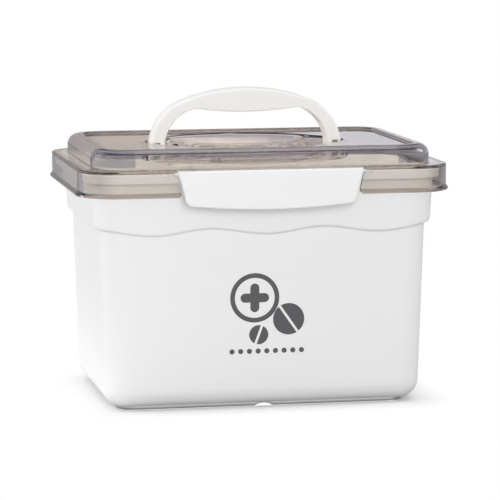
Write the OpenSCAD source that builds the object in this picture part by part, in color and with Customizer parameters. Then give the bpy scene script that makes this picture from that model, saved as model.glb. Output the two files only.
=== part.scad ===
// Medicine box: a tapered tub with a lift-off see-through lid, a latch at the front and at the back,
// a carrying handle that folds into a recess of the lid, and a lift-out tray with slot-in dividers.
// The origin is the middle of the foot's underside. X runs to the right, Y to the back, Z up.

/* [Tub] */
// Width of the tub's walls just under the rim band
tub_top_width = 240.3; // [220:0.1:260]
// Depth of the tub's walls just under the rim band
tub_top_depth = 168; // [150:0.1:185]
// How far each end wall leans out from the bottom edge to the rim band
end_lean = 3.35; // [0:0.05:6]
// How far the front and back walls lean out from the bottom edge to the rim band
side_lean = 3.2; // [0:0.05:6]
// Radius of the tub's upright corners
tub_corner = 18; // [15:0.5:24]
// Radius of the rounded edge round the bottom
base_round = 14; // [8:0.5:14.5]
// Thickness of the tub's walls
tub_wall = 2.2; // [1.6:0.1:3]
// Thickness of the tub's floor
tub_floor = 2.4; // [1.6:0.1:4]

/* [Rim band] */
// Height of the middle of the band's wavy lower edge
band_height = 130.3; // [120:0.1:136]
// How far the wave goes above and below that height
wave_rise = 2.2; // [0.5:0.1:3]
// Number of waves across the front
wave_count = 3; // [1:1:5]
// How far the band stands proud of the walls at its lower edge
band_step = 4; // [2:0.1:4.5]
// How far the band leans out from its lower edge to its top
band_lean = 2; // [0:0.1:2.4]
// Height of the tub's top face
rim_height = 172; // [165:0.1:174]
// How far the flange round the tub's top stands out from the band's ends
flange_end_reach = 4.85; // [4:0.05:7]
// How far the flange stands out from the band's front and back
flange_side_reach = 4.5; // [4:0.05:7]
// Height of the flange's turned-down edge
flange_drop = 6; // [4:0.1:8]

/* [Foot] */
// How far the foot ring lies in from the bottom's ends
foot_end_inset = 9.3; // [7:0.1:20]
// How far the foot ring lies in from the bottom's front and back
foot_side_inset = 9; // [7:0.1:20]
// Height of the foot ring
foot_height = 2; // [1:0.1:3]
// Thickness of the foot ring
foot_wall = 4; // [2:0.1:8]
// Width of the drain notch in the middle of each side of the foot ring
notch_width = 13; // [6:0.5:20]

/* [Lid] */
// Radius of the skirt's upright corners
lid_corner = 29; // [26:0.5:33]
// Wall thickness of the lid
lid_wall = 2.2; // [1.6:0.1:2.4]
// Height of the skirt from its lower edge to the top of the ledge
skirt_height = 19.3; // [16:0.1:22]
// How far the bead along the skirt's lower edge stands out
bead_out = 1.5; // [0.5:0.1:1.8]
// Height of that bead
bead_height = 2.6; // [1.5:0.1:4]
// Width of the ledge beside the raised top at the lid's ends
ledge_ends = 10.75; // [9.5:0.05:13]
// Width of the ledge beside the raised top at the lid's front and back
ledge_sides = 10.65; // [9.5:0.05:13]
// Height of the raised top above the ledge
dome_height = 13.8; // [12:0.1:20]
// Radius of the rounded edge round the raised top
dome_round = 8; // [4:0.5:10]
// Thickness of the seal between the tub's top face and the lid
seal_height = 1.4; // [1:0.1:2]
// Width of the seal
seal_width = 4; // [3:0.1:5]
// Depth of the locating rib inside the tub's rim
rib_drop = 2.8; // [1.5:0.1:3]

/* [Handle recess] */
// Depth of the recess in the lid's top
recess_depth = 15; // [14:0.1:16]
// Radius of the recess's round finger well at the lid's top
well_top_radius = 66; // [55:0.5:70]
// Radius of the finger well at its floor
well_floor_radius = 48; // [38:0.5:50]
// Room between the folded handle and the recess's wall
pocket_room = 1.5; // [0.8:0.1:2.5]

/* [Handle] */
// Distance between the outer faces of the handle's legs
handle_span = 144.5; // [130:0.5:150]
// Height of the handle's top above its hinge axis
handle_rise = 44.4; // [36:0.1:46]
// Radius of the handle's long top curve
crown_radius = 128; // [100:0.1:180]
// Radius of the handle's shoulders
shoulder_radius = 38.5; // [30:0.5:42]
// Width of the handle's strap, from front to back
handle_strap = 17; // [14:0.5:18]
// Thickness of a leg at the hinge
leg_thick = 9.9; // [8.6:0.1:12]
// Radius of the shoulders' inner curve
inner_shoulder = 31; // [24:0.5:33]
// Thickness of the grip at its middle
grip_thick = 17.3; // [10:0.1:20]
// Radius of the grip's belly
belly_radius = 270; // [150:1:400]
// Thickness of the lid's hinge ears
ear_thick = 4; // [3:0.1:4.4]
// Radius of the hinge ears' rounded tops
ear_radius = 5; // [4:0.1:5.5]
// Radius of the handle's hinge pins
pin_radius = 2; // [1.5:0.05:2.5]

/* [Latches] */
// Width of a latch along its hinge
latch_top_width = 134.4; // [110:0.1:150]
// Width of a latch just above its bottom corners
latch_low_width = 125; // [100:0.1:134]
// Height of a latch at its sides
latch_side = 25.5; // [22:0.1:30]
// How far the latch's lower edge bows down at its middle
latch_bow = 2.9; // [0:0.1:5]
// Radius of the latch's bottom corners
latch_corner = 6.5; // [3:0.5:8]
// Thickness of the latch's plate
latch_plate = 2.2; // [1.6:0.1:2.3]
// How far the latch's face stands out from the skirt
latch_proud = 2.3; // [1.8:0.1:4]
// Radius of the latch's hinge barrel
barrel_radius = 2; // [1.6:0.05:2.05]
// Radius of the hinge stubs at the barrel's ends
stub_radius = 1.2; // [1:0.05:1.3]
// Length of the hinge stubs
stub_length = 4.4; // [3:0.1:5]
// Gap between a latch and the skirt beside it
latch_gap = 1.4; // [1:0.1:2]
// Length of the hook that goes over the tub's flange
hook_width = 90; // [40:1:110]

/* [Tray] */
// How far the tray's top lies under the tub's top face
tray_drop = 2; // [0.5:0.1:10]
// Thickness of the tray's walls and floor
tray_wall = 1.8; // [1.4:0.1:2.4]
// Thickness of the tray's middle wall
middle_wall = 2.4; // [1.8:0.1:3]
// Length of the finger slot in the middle wall
finger_slot = 72; // [60:1:76]
// Height of the finger slot
finger_rise = 17; // [14:0.5:18]
// Thickness of a slot-in divider
divider_thick = 1.6; // [1.2:0.1:2]
// Distance of the dividers from the tray's middle
divider_place = 41; // [38.5:0.5:60]
// Size of the ribs that hold the dividers
slot_rib = 1.3; // [1:0.1:2]

/* [Clearances] */
// Gap between pieces that move past each other
moving_gap = 0.3; // [0.25:0.05:0.4]
// Gap between a hinge pin and its bore
bore_gap = 0.08; // [0.02:0.01:0.1]
// Gap between the tray and the tub's wall at the tray's floor
tray_gap = 0.5; // [0.3:0.1:0.8]
// Gap between the lid's skirt and the tub's flange
skirt_gap = 1.8; // [1:0.1:3]
// Gap between the locating rib and the tub's rim
rib_gap = 0.4; // [0.3:0.05:0.8]
// Gap between a divider and the tray
divider_gap = 0.15; // [0.1:0.05:0.3]

/* [Hidden] */

// Finish colours
tub_white = [0.93, 0.93, 0.93];
latch_white = [0.95, 0.95, 0.95];
handle_cream = [0.94, 0.93, 0.90];
lid_smoke = [0.52, 0.47, 0.45, 0.55];
seal_grey = [0.80, 0.80, 0.80];
pin_cream = [0.90, 0.89, 0.86];
tray_white = [0.95, 0.95, 0.94];
divider_clear = [0.90, 0.91, 0.92];

// Fineness of round surfaces, and of those inside a hull
$fn = 96;
hull_fn = 32;
// Overlap that lets cuts pass their faces
over = 1;
// Thin slice that stands for one level of a tapered wall
slice = 0.01;

// Tub levels and sizes
tub_base_width = tub_top_width - 2 * end_lean;
tub_base_depth = tub_top_depth - 2 * side_lean;
foot_width = tub_base_width - 2 * foot_end_inset;
foot_depth = tub_base_depth - 2 * foot_side_inset;
base_level = foot_height;
floor_level = base_level + tub_floor;
band_side_level = band_height + wave_rise;
band_low_level = band_height - wave_rise;
shelf_level = band_side_level + tub_wall;
flange_level = rim_height - flange_drop;
band_width = tub_top_width + 2 * band_step;
band_depth = tub_top_depth + 2 * band_step;
band_corner = tub_corner + band_step;
band_top_width = band_width + 2 * band_lean;
band_top_depth = band_depth + 2 * band_lean;
wave_length = band_width / wave_count;
flange_width = band_top_width + 2 * flange_end_reach;
flange_depth = band_top_depth + 2 * flange_side_reach;
flange_corner = band_corner + (flange_width - band_width) / 2;

// Lid sizes and levels
lid_width = flange_width + 2 * (skirt_gap + lid_wall);
lid_depth = flange_depth + 2 * (skirt_gap + lid_wall);
dome_width = lid_width - 2 * ledge_ends;
dome_depth = lid_depth - 2 * ledge_sides;
lid_under = rim_height + seal_height;
ledge_level = lid_under + lid_wall;
skirt_level = ledge_level - skirt_height;
dome_level = ledge_level + dome_height;
dome_corner = lid_corner - lid_wall;
recess_level = dome_level - recess_depth;
rib_width = band_top_width - 2 * tub_wall - 2 * rib_gap;
rib_depth = band_top_depth - 2 * tub_wall - 2 * rib_gap;
rib_corner = band_corner - tub_wall - rib_gap;

// Handle hinge, and the small lift that lets the shoulders' curve cross the crown's
hinge_level = recess_level + moving_gap + handle_strap / 2;
crown_centre = handle_rise - crown_radius;
shoulder_place = handle_span / 2 - shoulder_radius;
shoulder_lift = 0.03;
shoulder_level = crown_centre + shoulder_lift
                 + sqrt(pow(crown_radius - shoulder_radius, 2) - pow(shoulder_place, 2));
leg_inside = handle_span / 2 - leg_thick;
ear_place = handle_span / 2 - leg_thick / 2 - 0.25;
fork_radius = norm([ear_radius, hinge_level - recess_level]) + moving_gap;

// Latch hinge
skirt_face = lid_depth / 2;
latch_face = skirt_face + latch_proud;
latch_inside = latch_face - latch_plate;
latch_top = ledge_level - 0.4;
latch_hinge_y = skirt_face - 1.9;
latch_hinge_z = lid_under - 0.5;
cut_top = latch_top_width / 2 + latch_gap;
cut_low = cut_top - (latch_top_width - latch_low_width) / 2 * skirt_height / latch_side;
ledge_cut = latch_hinge_y - 3.2;
bow_radius = (pow(latch_low_width / 2 - latch_corner, 2) + pow(latch_bow, 2)) / (2 * latch_bow);

// Tray sizes
tray_low_width = band_width - 2 * tub_wall - 2 * tray_gap;
tray_low_depth = band_depth - 2 * tub_wall - 2 * tray_gap;
tray_top = rim_height - tray_drop;
tray_height = tray_top - shelf_level;
tray_lean = band_lean * tray_height / (flange_level - band_side_level);
tray_top_width = tray_low_width + 2 * tray_lean;
tray_top_depth = tray_low_depth + 2 * tray_lean;
tray_corner = band_corner - tub_wall - tray_gap;
tray_floor = shelf_level + tray_wall;
divider_top = tray_top - 2;

// Rectangle with round corners, centred
module round_rectangle(width, depth, corner) {
    square([width - 2 * corner, depth], center = true);
    square([width, depth - 2 * corner], center = true);
    for (x = [-1, 1], y = [-1, 1])
        translate([x * (width / 2 - corner), y * (depth / 2 - corner)])
            circle(r = corner);
}

// Upright block with round corners between two levels
module round_block(width, depth, corner, low, high) {
    translate([0, 0, low])
        linear_extrude(high - low)
            round_rectangle(width, depth, corner);
}

// Ring between two round blocks of the same levels
module round_ring(width, depth, corner, wall, low, high) {
    difference() {
        round_block(width, depth, corner, low, high);
        round_block(width - 2 * wall, depth - 2 * wall, corner - wall, low - over, high + over);
    }
}

// Block whose walls lean out from its low outline to its high one
module leaning_block(low_size, high_size, corner, low, high) {
    hull() {
        round_block(low_size.x, low_size.y, corner, low, low + slice, $fn = hull_fn);
        round_block(high_size.x, high_size.y, corner, high - slice, high, $fn = hull_fn);
    }
}

// Leaning block whose bottom edge is rounded
module bowl_block(low_size, high_size, corner, round_edge, low, high) {
    hull() {
        for (x = [-1, 1], y = [-1, 1])
            translate([x * (low_size.x / 2 - corner), y * (low_size.y / 2 - corner), low])
                foot_puck(corner, round_edge, $fn = hull_fn);
        round_block(high_size.x, high_size.y, corner, high - slice, high, $fn = hull_fn);
    }
}

// Round puck with a rounded lower edge
module foot_puck(radius, round_edge) {
    rotate_extrude() {
        intersection() {
            translate([radius - round_edge, round_edge])
                circle(r = round_edge);
            square([radius, round_edge]);
        }
        square([radius - round_edge, round_edge]);
    }
}

// Half width of the tub's outer walls grown or shrunk by an allowance, as [width, depth]
function tub_low(grow) = [tub_base_width + 2 * grow, tub_base_depth + 2 * grow];
function tub_high(grow) = [tub_top_width + 2 * grow, tub_top_depth + 2 * grow];
function band_low(grow) = [band_width + 2 * grow, band_depth + 2 * grow];
function band_high(grow) = [band_top_width + 2 * grow, band_top_depth + 2 * grow];

// Height of the band's lower edge at a place across the front
function wave(x) = band_height - wave_rise * cos(360 * x / wave_length);

// Area above the band's wavy lower edge, seen from the front
module wave_area() {
    step = 2;
    half = band_width / 2 + over;
    polygon(concat(
        [for (x = [-half : step : half]) [x, wave(x)]],
        [[half, band_side_level + over], [-half, band_side_level + over]]));
}

module tub() {
    color(tub_white)
        difference() {
            union() {
                bowl_block(tub_low(0), tub_high(0), tub_corner, base_round, base_level, shelf_level);
                leaning_block(band_low(0), band_high(0), band_corner, band_side_level, rim_height);
                intersection() {
                    round_block(band_width, band_depth, band_corner, band_low_level - over, band_side_level + over);
                    rotate([90, 0, 0])
                        linear_extrude(band_depth + 2 * over, center = true)
                            wave_area();
                }
                flange();
                round_ring(foot_width, foot_depth, tub_corner - foot_height, foot_wall, 0, floor_level - over);
            }
            bowl_block(tub_low(-tub_wall), tub_high(-tub_wall), tub_corner - tub_wall,
                       base_round - tub_wall, floor_level, shelf_level + slice);
            leaning_block(band_low(-tub_wall), band_high(-tub_wall), band_corner - tub_wall,
                          shelf_level, rim_height + slice);
            foot_notches();
        }
}

// Turned-down flange round the tub's top
module flange() {
    flange_wall = tub_wall;
    round_ring(flange_width, flange_depth, flange_corner, flange_wall, flange_level, rim_height);
    difference() {
        round_block(flange_width, flange_depth, flange_corner, rim_height - flange_wall, rim_height);
        round_block(band_width, band_depth, band_corner, flange_level, rim_height + over);
    }
}

// Arched notches in the middle of the foot ring's four sides
module foot_notches() {
    notch_radius = (pow(notch_width / 2, 2) + pow(foot_height, 2)) / (2 * foot_height);
    for (turn = [0, 90])
        rotate([0, 0, turn])
            translate([0, 0, foot_height - notch_radius])
                rotate([90, 0, 0])
                    cylinder(r = notch_radius, h = foot_width + 2 * over, center = true);
}

// Profile of a wall-to-wall block with rounded top edges
module top_profile(span, rise, round_edge) {
    translate([-span / 2, 0])
        square([span, rise - round_edge]);
    translate([round_edge - span / 2, 0])
        square([span - 2 * round_edge, rise]);
    for (side = [-1, 1])
        translate([side * (span / 2 - round_edge), rise - round_edge])
            circle(r = round_edge);
}

// Block with round upright corners and a rounded top edge
module soft_block(width, depth, corner, round_edge, low, high) {
    rise = high - low;
    translate([0, 0, low]) {
        rotate([90, 0, 90])
            linear_extrude(width - 2 * corner, center = true)
                top_profile(depth, rise, round_edge);
        rotate([90, 0, 0])
            linear_extrude(depth - 2 * corner, center = true)
                top_profile(width, rise, round_edge);
        for (x = [-1, 1], y = [-1, 1])
            translate([x * (width / 2 - corner), y * (depth / 2 - corner), 0])
                rotate_extrude()
                    intersection() {
                        top_profile(2 * corner, rise, round_edge);
                        square([corner, rise]);
                    }
    }
}

// Area under the handle's outer curve, measured from the hinge axis and grown by an allowance
module handle_area(grow) {
    tangent_place = (crown_radius + grow) * shoulder_place / (crown_radius - shoulder_radius);
    for (side = [-1, 1])
        translate([side * shoulder_place, shoulder_level])
            circle(r = shoulder_radius + grow);
    intersection() {
        translate([0, crown_centre])
            circle(r = crown_radius + grow, $fn = 240);
        translate([-tangent_place, 0])
            square([2 * tangent_place, handle_rise + grow + over]);
    }
}

// Straight lower part of the handle's legs, from the hinge axis down
module leg_area(grow, drop) {
    translate([-handle_span / 2 - grow, -drop])
        square([handle_span + 2 * grow, drop + shoulder_level]);
}

// Plan of the pocket that the folded handle lies in, to the front and to the back
module pocket_area(grow) {
    half = handle_strap / 2 + grow;
    intersection() {
        union() {
            for (turn = [0, 180])
                rotate(turn)
                    handle_area(grow);
            square([handle_span + 2 * grow, 2 * half], center = true);
        }
        square([handle_span + 2 * grow, 2 * (handle_rise + grow)], center = true);
    }
}

// Space of the recess in the lid's top, with its walls grown by an allowance
module recess_space(side_grow, pocket_grow, low, high) {
    slope = (well_top_radius - well_floor_radius) / recess_depth;
    function well_radius(level) = well_floor_radius + slope * (level - recess_level) + side_grow;
    translate([0, 0, low])
        cylinder(r1 = well_radius(low), r2 = well_radius(high), h = high - low);
    translate([0, 0, low])
        linear_extrude(high - low)
            pocket_area(pocket_room + pocket_grow);
}

// Outline of the skirt's cut-out for a latch, seen from the front
module cut_area() {
    corner = 2.8;
    top = ledge_level + over;
    low = skirt_level - over;
    polygon([[-cut_top, top], [-cut_top, ledge_level], [-cut_low, skirt_level + corner],
             [-cut_low - corner * (1 - cos(45)), skirt_level + corner * (1 - sin(45))],
             [-cut_low - corner, skirt_level], [-cut_low - corner, low],
             [cut_low + corner, low], [cut_low + corner, skirt_level],
             [cut_low + corner * (1 - cos(45)), skirt_level + corner * (1 - sin(45))],
             [cut_low, skirt_level + corner], [cut_top, ledge_level], [cut_top, top]]);
}

// The skirt's cut-out for a latch at the front
module latch_cut() {
    translate([0, -ledge_cut, 0])
        rotate([90, 0, 0])
            linear_extrude(latch_face - ledge_cut + over)
                cut_area();
}

// The two webs beside the front latch that hold its hinge stubs
module stub_webs() {
    web_length = stub_length + 1;
    web_low = latch_hinge_z - stub_radius - 1.4;
    web_back = flange_depth / 2 + moving_gap;
    for (side = [-1, 1])
        translate([side * (cut_top + web_length / 2), -(web_back + skirt_face) / 2, (web_low + lid_under + slice) / 2])
            cube([web_length, skirt_face - web_back, lid_under + slice - web_low], center = true);
}

// The bores in those webs
module stub_bores() {
    bore_end = latch_top_width / 2 + stub_length + moving_gap;
    for (side = [-1, 1])
        translate([side * (cut_top - over), -latch_hinge_y, latch_hinge_z])
            rotate([0, side * 90, 0])
                cylinder(r = stub_radius + bore_gap, h = bore_end - cut_top + over);
}

// Hinge ear on the recess's floor, before its bore
module hinge_ear(side) {
    translate([side * ear_place, 0, hinge_level])
        rotate([90, 0, 90])
            linear_extrude(ear_thick, center = true) {
                circle(r = ear_radius);
                translate([-ear_radius, recess_level - hinge_level - slice])
                    square([2 * ear_radius, hinge_level - recess_level + slice]);
            }
}

module lid() {
    bead_level = skirt_level + bead_height;
    color(lid_smoke)
        difference() {
            union() {
                difference() {
                    union() {
                        round_block(lid_width, lid_depth, lid_corner, skirt_level, ledge_level);
                        round_block(lid_width + 2 * bead_out, lid_depth + 2 * bead_out,
                                    lid_corner + bead_out, skirt_level, bead_level);
                        soft_block(dome_width, dome_depth, dome_corner, dome_round, ledge_level - over, dome_level);
                    }
                    round_block(lid_width - 2 * lid_wall, lid_depth - 2 * lid_wall, lid_corner - lid_wall,
                                skirt_level - over, lid_under);
                    difference() {
                        soft_block(dome_width - 2 * lid_wall, dome_depth - 2 * lid_wall, dome_corner - lid_wall,
                                   dome_round - lid_wall, lid_under - over, dome_level - lid_wall);
                        recess_space(recess_wall(), lid_wall, recess_level - lid_wall, dome_level + over);
                    }
                    latch_cut();
                    mirror([0, 1, 0])
                        latch_cut();
                }
                intersection() {
                    recess_space(recess_wall(), lid_wall, recess_level - lid_wall, dome_level);
                    round_block(dome_width - over, dome_depth - over, dome_corner,
                                recess_level - lid_wall, lid_under + over);
                }
                round_ring(rib_width, rib_depth, rib_corner, lid_wall, lid_under - rib_drop, lid_under + over);
                stub_webs();
                mirror([0, 1, 0])
                    stub_webs();
            }
            difference() {
                recess_space(0, 0, recess_level, dome_level + over);
                hinge_ear(-1);
                hinge_ear(1);
            }
            handle_bores(bore_gap);
            stub_bores();
            mirror([0, 1, 0])
                stub_bores();
        }
}

// Sideways thickness of the finger well's sloping wall
function recess_wall() =
    lid_wall * norm([well_top_radius - well_floor_radius, recess_depth]) / recess_depth;

// Holes on the handle's hinge axis, through the ears and the legs
module handle_bores(gap) {
    for (side = [-1, 1])
        translate([side * (leg_inside + handle_span / 2) / 2, 0, hinge_level])
            rotate([0, 90, 0])
                cylinder(r = pin_radius + gap, h = leg_thick + 2 * over, center = true);
}

module seal_ring() {
    seal_gap = 0.8;
    seal_outer = 2 * (seal_width + seal_gap);
    color(seal_grey)
        round_ring(rib_width + seal_outer, rib_depth + seal_outer, rib_corner + seal_outer / 2,
                   seal_width, rim_height, lid_under);
}

// Outline of a latch's plate, seen from the front, measured down from the latch's top
module latch_area() {
    bottom = -latch_side;
    half_low = latch_low_width / 2;
    arc_points = 6;
    bow_points = 12;
    function corner_point(k) =
        [half_low - latch_corner + latch_corner * cos(90 * k / arc_points),
         bottom + latch_corner - latch_corner * sin(90 * k / arc_points)];
    function bow_point(k) =
        let (x = (half_low - latch_corner) * (1 - 2 * k / bow_points))
        [x, bottom + bow_radius - latch_bow - sqrt(pow(bow_radius, 2) - pow(x, 2))];
    right = [for (k = [0 : arc_points]) corner_point(k)];
    bow = [for (k = [1 : bow_points - 1]) bow_point(k)];
    left = [for (k = [arc_points : -1 : 0]) [-corner_point(k).x, corner_point(k).y]];
    polygon(concat([[-latch_top_width / 2, 0], [latch_top_width / 2, 0]], right, bow, left));
}

// Latch at the front, hung on its barrel, with its hook over the tub's flange
module latch_shape() {
    top_round = 2;
    hook_tip = flange_depth / 2 + moving_gap;
    hook_top = flange_level - 0.4;
    difference() {
        translate([0, -latch_inside, latch_top])
            rotate([90, 0, 0])
                linear_extrude(latch_plate)
                    latch_area();
        difference() {
            translate([0, -latch_face, latch_top])
                cube([latch_top_width + over, 2 * top_round, 2 * top_round], center = true);
            translate([0, top_round - latch_face, latch_top - top_round])
                rotate([0, 90, 0])
                    cylinder(r = top_round, h = latch_top_width + 2 * over, center = true);
        }
    }
    translate([0, -latch_hinge_y, latch_hinge_z]) {
        rotate([0, 90, 0])
            cylinder(r = barrel_radius, h = latch_top_width, center = true);
        translate([-latch_top_width / 2, latch_hinge_y - latch_inside - slice, -barrel_radius])
            cube([latch_top_width, latch_inside - latch_hinge_y + slice, 2 * barrel_radius]);
        rotate([0, 90, 0])
            cylinder(r = stub_radius, h = latch_top_width + 2 * stub_length, center = true);
    }
    rotate([90, 0, 90])
        linear_extrude(hook_width, center = true)
            polygon([[-latch_inside - slice, hook_top], [-hook_tip, hook_top], [-hook_tip, hook_top - 1],
                     [-latch_inside - slice, hook_top - 4.6]]);
}

module front_latch() {
    color(latch_white)
        latch_shape();
}

module rear_latch() {
    color(latch_white)
        mirror([0, 1, 0])
            latch_shape();
}

// Space inside the handle's arch, under the grip
module arch_opening() {
    inner_place = leg_inside - inner_shoulder;
    belly_low = handle_rise - grip_thick;
    difference() {
        union() {
            for (side = [-1, 1])
                translate([side * inner_place, 0])
                    circle(r = inner_shoulder);
            translate([-inner_place, 0])
                square([2 * inner_place, inner_shoulder]);
            translate([-leg_inside, -handle_strap])
                square([2 * leg_inside, handle_strap]);
        }
        translate([0, belly_low + belly_radius])
            circle(r = belly_radius, $fn = 360);
    }
}

// Side view of the handle's strap: straight sides and a half-round foot
module strap_profile() {
    circle(r = handle_strap / 2);
    translate([-handle_strap / 2, 0])
        square([handle_strap, handle_rise + over]);
}

module handle() {
    slot_width = ear_thick + 2 * moving_gap;
    color(handle_cream)
        difference() {
            translate([0, 0, hinge_level])
                intersection() {
                    rotate([90, 0, 0])
                        linear_extrude(handle_strap + 2 * over, center = true)
                            difference() {
                                union() {
                                    handle_area(0);
                                    leg_area(0, handle_strap / 2 + over);
                                }
                                arch_opening();
                            }
                    rotate([90, 0, 90])
                        linear_extrude(handle_span + 2 * over, center = true)
                            strap_profile();
                }
            for (side = [-1, 1])
                translate([side * ear_place, 0, hinge_level])
                    rotate([0, 90, 0])
                        cylinder(r = fork_radius, h = slot_width, center = true);
            handle_bores(0);
        }
}

// Hinge pin of one leg, seen from the middle of the lid
module handle_pin(side) {
    inset = 0.3;
    color(pin_cream)
        translate([side * (leg_inside + handle_span / 2) / 2, 0, hinge_level])
            rotate([0, 90, 0])
                cylinder(r = pin_radius, h = leg_thick - 2 * inset, center = true);
}

module left_handle_pin() {
    handle_pin(-1);
}

module right_handle_pin() {
    handle_pin(1);
}

// The tray's outer or inner block
module tray_block(grow, low, high) {
    leaning_block([tray_low_width + 2 * grow, tray_low_depth + 2 * grow],
                  [tray_top_width + 2 * grow, tray_top_depth + 2 * grow],
                  tray_corner + grow, low, high);
}

// Pairs of ribs between which a divider slides, on the tray's long walls and middle wall
module divider_ribs() {
    groove = divider_thick + 2 * divider_gap;
    rib_top = divider_top - 2;
    for (x = [-1, 1], edge = [-1, 1]) {
        place = x * divider_place + edge * (groove + slot_rib) / 2;
        translate([place, 0, (tray_floor + rib_top) / 2])
            difference() {
                cube([slot_rib, tray_top_depth, rib_top - tray_floor], center = true);
                for (side = [-1, 1])
                    translate([0, side * (tray_low_depth / 2 - tray_wall - slot_rib + middle_wall / 2 + slot_rib) / 2, 0])
                        cube([slot_rib + over,
                              tray_low_depth / 2 - tray_wall - middle_wall / 2 - 2 * slot_rib,
                              rib_top], center = true);
            }
    }
}

// Finger slot in the tray's middle wall
module finger_hole() {
    hole_level = divider_top - 6 - finger_rise / 2;
    translate([0, 0, hole_level])
        rotate([90, 0, 0])
            linear_extrude(middle_wall + 2 * over, center = true) {
                square([finger_slot - finger_rise, finger_rise], center = true);
                for (side = [-1, 1])
                    translate([side * (finger_slot - finger_rise) / 2, 0])
                        circle(r = finger_rise / 2);
            }
}

module tray() {
    color(tray_white) {
        difference() {
            tray_block(0, shelf_level, tray_top);
            tray_block(-tray_wall, tray_floor, tray_top + slice);
        }
        intersection() {
            tray_block(-tray_wall / 2, tray_floor - tray_wall / 2, tray_top);
            union() {
                difference() {
                    translate([-tray_top_width / 2, -middle_wall / 2, shelf_level])
                        cube([tray_top_width, middle_wall, divider_top - shelf_level]);
                    finger_hole();
                }
                divider_ribs();
            }
        }
    }
}

// Slot-in divider of one compartment: x and y say to which side of the tray's middle it stands
module divider(x, y) {
    near = middle_wall / 2 + divider_gap;
    far_low = tray_low_depth / 2 - tray_wall - divider_gap;
    far_high = far_low + tray_lean * (divider_top - tray_floor) / tray_height;
    thumb_radius = 9;
    color(divider_clear)
        translate([x * divider_place, 0, 0])
            rotate([90, 0, 90])
                linear_extrude(divider_thick, center = true)
                    difference() {
                        polygon([[y * near, tray_floor], [y * far_low, tray_floor],
                                 [y * far_high, divider_top], [y * near, divider_top]]);
                        translate([y * (near + far_high) / 2, divider_top + thumb_radius / 3])
                            circle(r = thumb_radius);
                    }
}

module front_left_divider() {
    divider(-1, -1);
}

module front_right_divider() {
    divider(1, -1);
}

module back_left_divider() {
    divider(-1, 1);
}

module back_right_divider() {
    divider(1, 1);
}

tub();
lid();
seal_ring();
front_latch();
rear_latch();
handle();
left_handle_pin();
right_handle_pin();
tray();
front_left_divider();
front_right_divider();
back_left_divider();
back_right_divider();
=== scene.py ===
# %% [markdown]
# # A household medicine box
# A tapered white tub under a smoky see-through lid, held by a wide latch at the front and another at
# the back, with a carrying handle that folds down into a well of the lid.
# The measured model already holds every piece as a plain solid, with the joints that move it. Here
# each large piece that shows gets a finer skin with soft edges, every piece gets its finish, and a
# small studio lights them.

from math import acos, atan2, cos, degrees, hypot, radians, sin, sqrt

import bmesh
import bpy
from mathutils import Matrix, Vector


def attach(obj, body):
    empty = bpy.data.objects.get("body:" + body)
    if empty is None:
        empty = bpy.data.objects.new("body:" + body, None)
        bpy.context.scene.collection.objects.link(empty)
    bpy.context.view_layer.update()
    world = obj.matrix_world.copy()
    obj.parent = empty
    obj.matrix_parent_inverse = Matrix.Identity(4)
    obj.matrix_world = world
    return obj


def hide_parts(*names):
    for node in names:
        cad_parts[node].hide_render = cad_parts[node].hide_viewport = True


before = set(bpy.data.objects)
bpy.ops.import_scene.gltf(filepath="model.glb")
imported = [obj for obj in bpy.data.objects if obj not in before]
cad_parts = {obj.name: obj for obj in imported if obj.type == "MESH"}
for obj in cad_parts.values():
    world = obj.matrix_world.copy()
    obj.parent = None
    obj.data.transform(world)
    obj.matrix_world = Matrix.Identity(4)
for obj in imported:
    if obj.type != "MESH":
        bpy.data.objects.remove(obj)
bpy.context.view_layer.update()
MM = 0.001


# %% [markdown]
# ## Outlines
# Seen from above, every wall of the box is a rounded rectangle. A block with a Bevel modifier would
# give one such wall, but not one whose size changes at every level. So one function draws the outline
# at any level, always with the same number of points, and outlines can be joined point to point.
# Points lie closer together round the middle of each side, where the foot ring has its notches.
# All sizes are in millimetres. An outline is given by its half sizes and its corner radius, because
# the box is alike on both sides of its middle.

# %% Rounded outlines
MIDDLE_MARKS = [1.5, 3, 4.5, 6, 6.6, 10]
SIDE_STEPS, END_STEPS, CORNER_STEPS = 24, 12, 14


def side_places(half, steps):
    """Places along a straight side: close together round its middle, evenly spaced to its ends."""
    reach = half - MIDDLE_MARKS[-1]
    right = MIDDLE_MARKS + [MIDDLE_MARKS[-1] + reach * k / steps for k in range(1, steps + 1)]
    return [-place for place in reversed(right)] + [0] + right


def ring(half_x, half_y, corner, level):
    """Rounded rectangle at a level. The level is a number, or a function of x and y."""
    straight_x, straight_y = half_x - corner, half_y - corner
    turns = [radians(90 * k / CORNER_STEPS) for k in range(1, CORNER_STEPS)]
    front = [(x, -half_y) for x in side_places(straight_x, SIDE_STEPS)]
    front_right = [(straight_x + corner * sin(a), -straight_y - corner * cos(a)) for a in turns]
    right = [(half_x, y) for y in side_places(straight_y, END_STEPS)]
    back_right = [(straight_x + corner * cos(a), straight_y + corner * sin(a)) for a in turns]
    half_way = front + front_right + right + back_right
    points = half_way + [(-x, -y) for x, y in half_way]
    if callable(level):
        return [(x, y, level(x, y)) for x, y in points]
    return [(x, y, level) for x, y in points]


def grown(sizes, out):
    """Half sizes and corner radius of an outline, grown outwards."""
    return tuple(size + out for size in sizes)


def stack(sizes, profile, base=0):
    """One outline for each step of a profile, which says how far out and how far above a base."""
    return [ring(*grown(sizes, out), base + rise) for out, rise in profile]


def climb(sizes_at, profile):
    """Outlines of a leaning wall, whose sizes are a function of the level and of how far out."""
    return [ring(*sizes_at(level, out), level) for out, level in profile]


def rounded(sizes, radius, level, angles, up=1):
    """Outlines over a rounded edge, from the sizes and the level of the middle of its curve."""
    rings = []
    for angle in angles:
        out = radius * sin(radians(angle))
        rise = up * radius * cos(radians(angle))
        rings.append(ring(*grown(sizes, out), level + rise))
    return rings


print("points in an outline:", len(ring(100, 70, 20, 0)))

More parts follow.
